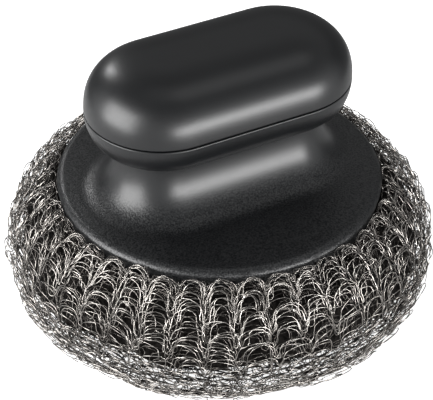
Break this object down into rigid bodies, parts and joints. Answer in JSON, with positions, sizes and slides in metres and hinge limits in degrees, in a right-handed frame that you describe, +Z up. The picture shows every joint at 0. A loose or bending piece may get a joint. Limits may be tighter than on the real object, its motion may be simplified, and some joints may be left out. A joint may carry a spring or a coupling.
{
  "type": "round grill scourer",
  "caption": "Round hand scourer for grill grates: a moulded palm grip on a wide skirt over a cushion of knitted steel wire held by a knob underneath.",
  "frame": {"origin": "centre of the whole object's outline in plan, on the plane that the scourer stands on", "axes": "+Z up through the grip, +X along the grip's long axis, +Y across it"},
  "size_m": [0.118, 0.118, 0.0846],
  "materials": {
    "grip_plastic": "satin black moulded plastic with a fine grain",
    "plate_plastic": "matte black moulded plastic",
    "knob_plastic": "matte dark grey moulded plastic",
    "screw_steel": "zinc-plated steel",
    "retainer_steel": "stainless steel, plain",
    "insert_brass": "turned brass",
    "knitted_wire": "knitted fabric of fine bright stainless wire"
  },
  "bodies": {
    "handle": {"grip_cover": "grip_plastic", "handle_body": "grip_plastic", "cover_screw_left": "screw_steel", "cover_screw_right": "screw_steel", "backing_plate": "plate_plastic", "plate_screw_1": "screw_steel", "plate_screw_2": "screw_steel", "plate_screw_3": "screw_steel", "plate_screw_4": "screw_steel", "threaded_insert": "insert_brass"},
    "scourer": {"scourer_sleeve": "knitted_wire", "scourer_core": "knitted_wire", "centre_eyelet": "retainer_steel", "retainer_washer": "retainer_steel"},
    "retainer": {"retainer_knob": "knob_plastic", "retainer_stud": "retainer_steel"}
  },
  "joints": [
    {"name": "scourer_release", "type": "slide", "parent": "handle", "child": "scourer", "axis": [0, 0, -1], "range_m": [0, 0.01]},
    {"name": "retainer_turn", "type": "hinge", "parent": "scourer", "child": "retainer", "pos_m": [0, 0, 0.01], "axis": [0, 0, -1], "range_deg": [0, 1440]}
  ],
  "couplings": [
    {"joint": "retainer_turn", "follows": "scourer_release", "rad_per_m": 2513.3}
  ]
}
